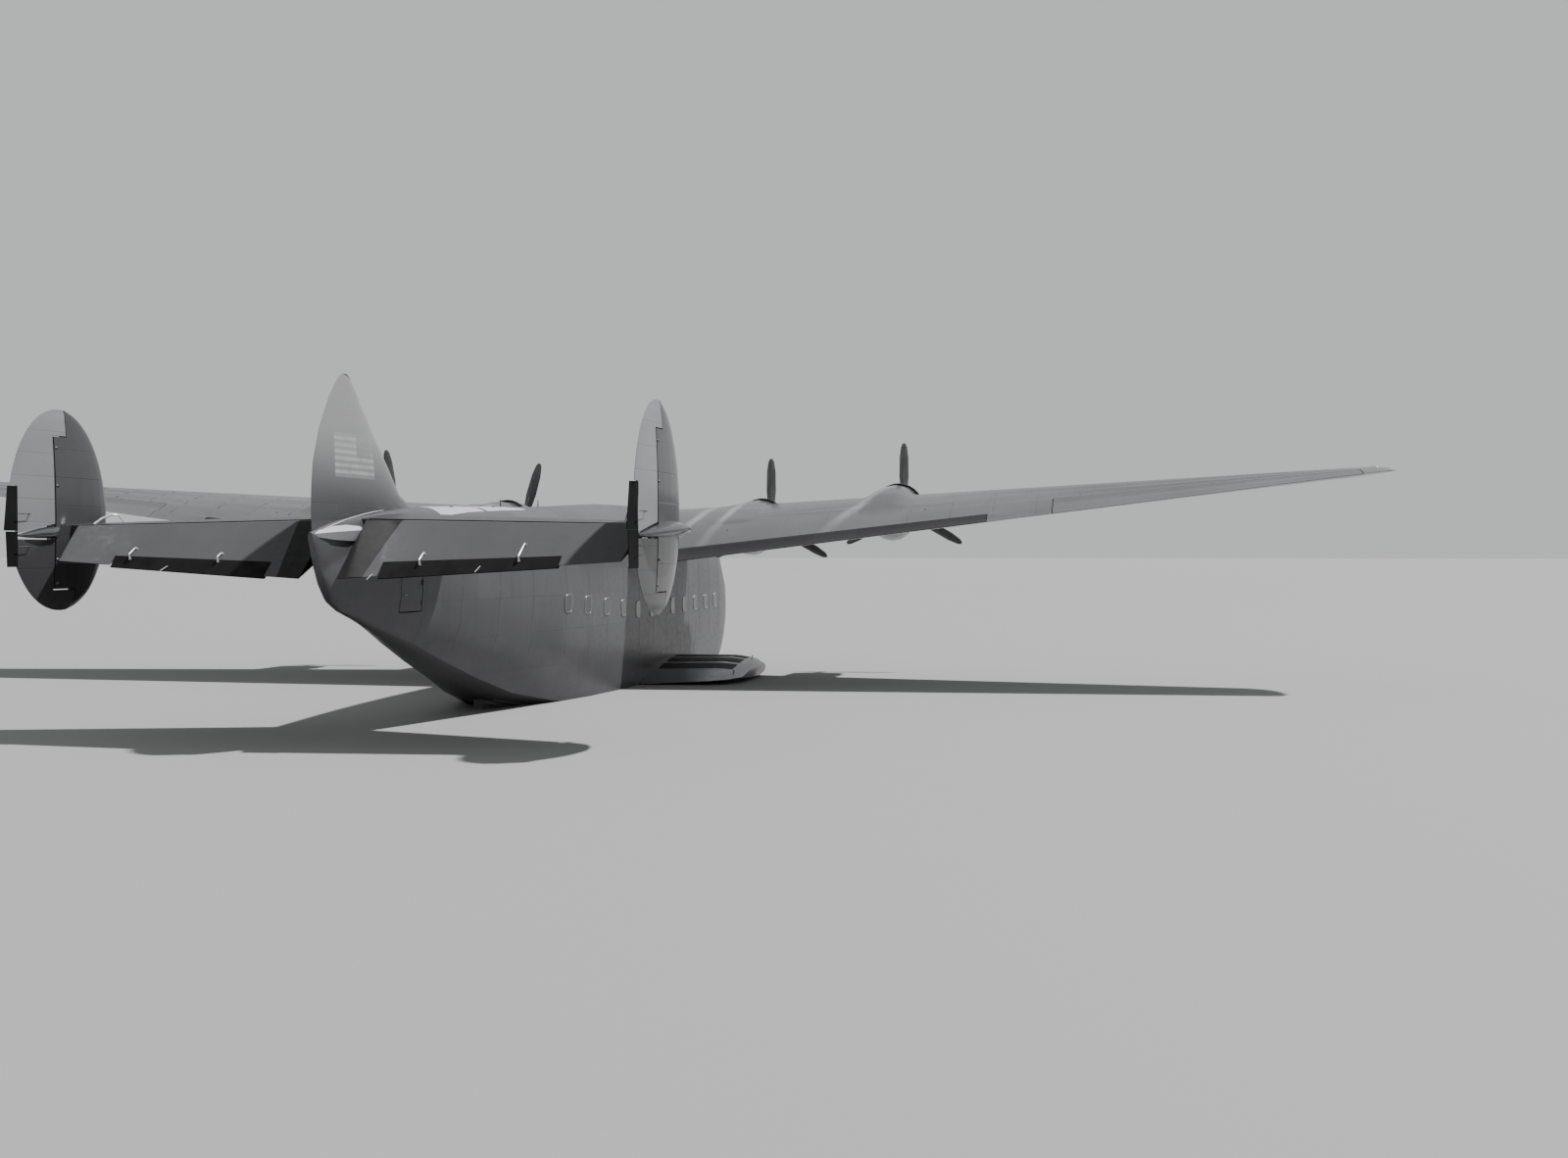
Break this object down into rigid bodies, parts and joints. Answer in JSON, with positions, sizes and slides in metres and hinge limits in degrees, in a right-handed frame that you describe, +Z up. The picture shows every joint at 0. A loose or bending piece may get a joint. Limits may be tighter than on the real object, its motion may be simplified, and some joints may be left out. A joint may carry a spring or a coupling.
{
  "type": "four-engined passenger flying boat, 1:2 scale model",
  "caption": "High-wing passenger flying boat with a deep stepped hull, sponsons, radial engines along the wing and tall rounded tail fins, at half size.",
  "frame": {"origin": "on the waterline, on the centreline, at the main step", "axes": "+X to port along the span, +Y aft, +Z up"},
  "size_m": [23.18, 16.2503, 4.505],
  "materials": {
    "silver_paint": "semi-gloss aluminium paint over riveted sheet",
    "doped_fabric": "aluminium dope over fabric on ribs, satin",
    "tab_paint": "satin dark grey",
    "bottom_paint": "satin dark bottom paint",
    "cowl_metal": "satin aluminium",
    "engine_metal": "dark finned castings",
    "propeller_metal": "dull grey metal blades",
    "glazing": "dark flight-deck panes",
    "steel": "weathered steel"
  },
  "bodies": {
    "airframe": {"hull": "silver_paint", "flight_deck_glazing": "glazing", "planing_bottom_forward": "bottom_paint", "planing_bottom_aft": "bottom_paint", "mooring_bitt": "steel", "centre_fin": "silver_paint", "stabiliser": "silver_paint", "wing_inner_port": "silver_paint", "wing_outer_port": "silver_paint", "sponson_port": "silver_paint", "beaching_pad_port": "steel", "nacelle_inner_port": "silver_paint", "cowl_inner_port": "cowl_metal", "engine_inner_port": "engine_metal", "nacelle_outer_port": "silver_paint", "cowl_outer_port": "cowl_metal", "engine_outer_port": "engine_metal", "fin_port": "silver_paint", "stabiliser_tip_port": "silver_paint", "wing_inner_starboard": "silver_paint", "wing_outer_starboard": "silver_paint", "sponson_starboard": "silver_paint", "beaching_pad_starboard": "steel", "nacelle_inner_starboard": "silver_paint", "cowl_inner_starboard": "cowl_metal", "engine_inner_starboard": "engine_metal", "nacelle_outer_starboard": "silver_paint", "cowl_outer_starboard": "cowl_metal", "engine_outer_starboard": "engine_metal", "fin_starboard": "silver_paint", "stabiliser_tip_starboard": "silver_paint"},
    "propeller_inner_port": {"propeller_inner_port": "propeller_metal"},
    "propeller_outer_port": {"propeller_outer_port": "propeller_metal"},
    "propeller_inner_starboard": {"propeller_inner_starboard": "propeller_metal"},
    "propeller_outer_starboard": {"propeller_outer_starboard": "propeller_metal"},
    "flap_port": {"flap_port": "doped_fabric"},
    "flap_starboard": {"flap_starboard": "doped_fabric"},
    "aileron_port": {"aileron_port": "doped_fabric"},
    "aileron_starboard": {"aileron_starboard": "doped_fabric"},
    "elevator_port": {"elevator_port": "doped_fabric", "elevator_tab_port": "tab_paint"},
    "elevator_starboard": {"elevator_starboard": "doped_fabric", "elevator_tab_starboard": "tab_paint"},
    "rudder_port": {"rudder_upper_port": "doped_fabric", "rudder_lower_port": "doped_fabric", "rudder_tab_upper_port": "tab_paint", "rudder_tab_lower_port": "tab_paint"},
    "rudder_starboard": {"rudder_upper_starboard": "doped_fabric", "rudder_lower_starboard": "doped_fabric", "rudder_tab_upper_starboard": "tab_paint", "rudder_tab_lower_starboard": "tab_paint"},
    "cabin_door": {"cabin_door": "silver_paint"},
    "aft_hatch": {"aft_hatch": "silver_paint"}
  },
  "joints": [
    {"name": "propeller_inner_port_spin", "type": "hinge", "parent": "airframe", "child": "propeller_inner_port", "pos_m": [2.175, -3.825, 2.41], "axis": [0, 1, 0], "continuous": true},
    {"name": "propeller_outer_port_spin", "type": "hinge", "parent": "airframe", "child": "propeller_outer_port", "pos_m": [4.425, -3.625, 2.63], "axis": [0, 1, 0], "continuous": true},
    {"name": "propeller_inner_starboard_spin", "type": "hinge", "parent": "airframe", "child": "propeller_inner_starboard", "pos_m": [-2.175, -3.825, 2.41], "axis": [0, 1, 0], "continuous": true},
    {"name": "propeller_outer_starboard_spin", "type": "hinge", "parent": "airframe", "child": "propeller_outer_starboard", "pos_m": [-4.425, -3.625, 2.63], "axis": [0, 1, 0], "continuous": true},
    {"name": "flap_port_hinge", "type": "hinge", "parent": "airframe", "child": "flap_port", "pos_m": [1.1, 0.16274, 1.84244], "axis": [-0.9911, 0.0621, -0.118], "range_deg": [0, 40]},
    {"name": "flap_starboard_hinge", "type": "hinge", "parent": "airframe", "child": "flap_starboard", "pos_m": [-1.1, 0.16274, 1.84244], "axis": [-0.9911, -0.0621, 0.118], "range_deg": [0, 40]},
    {"name": "aileron_port_hinge", "type": "hinge", "parent": "airframe", "child": "aileron_port", "pos_m": [6.925, -0.54564, 2.5994], "axis": [0.9938, -0.0278, 0.1077], "range_deg": [-20, 20]},
    {"name": "aileron_starboard_hinge", "type": "hinge", "parent": "airframe", "child": "aileron_starboard", "pos_m": [-6.925, -0.54564, 2.5994], "axis": [0.9938, 0.0278, -0.1077], "range_deg": [-20, 20]},
    {"name": "elevator_port_hinge", "type": "hinge", "parent": "airframe", "child": "elevator_port", "pos_m": [0.5, 7.615, 2.175], "axis": [1, 0, 0], "range_deg": [0, 55]},
    {"name": "elevator_starboard_hinge", "type": "hinge", "parent": "airframe", "child": "elevator_starboard", "pos_m": [-0.5, 7.615, 2.175], "axis": [1, 0, 0], "range_deg": [0, 55]},
    {"name": "rudder_port_hinge", "type": "hinge", "parent": "airframe", "child": "rudder_port", "pos_m": [3.27, 7.89, 2.3], "axis": [0, 0, 1], "range_deg": [-22, 22]},
    {"name": "rudder_starboard_hinge", "type": "hinge", "parent": "airframe", "child": "rudder_starboard", "pos_m": [-3.27, 7.89, 2.3], "axis": [0, 0, 1], "range_deg": [-22, 22]},
    {"name": "cabin_door_hinge", "type": "hinge", "parent": "airframe", "child": "cabin_door", "pos_m": [0.9575, -1.55, 0.8375], "axis": [0, 0, -1], "range_deg": [0, 90]},
    {"name": "aft_hatch_hinge", "type": "hinge", "parent": "airframe", "child": "aft_hatch", "pos_m": [-0.3337, 6.5759, 1.5096], "axis": [-0.081, 0.0146, 0.9966], "range_deg": [0, 90]}
  ],
  "couplings": [
    {"joint": "flap_starboard_hinge", "follows": "flap_port_hinge", "ratio": 1},
    {"joint": "aileron_starboard_hinge", "follows": "aileron_port_hinge", "ratio": -1},
    {"joint": "elevator_starboard_hinge", "follows": "elevator_port_hinge", "ratio": 1},
    {"joint": "rudder_starboard_hinge", "follows": "rudder_port_hinge", "ratio": 1}
  ]
}
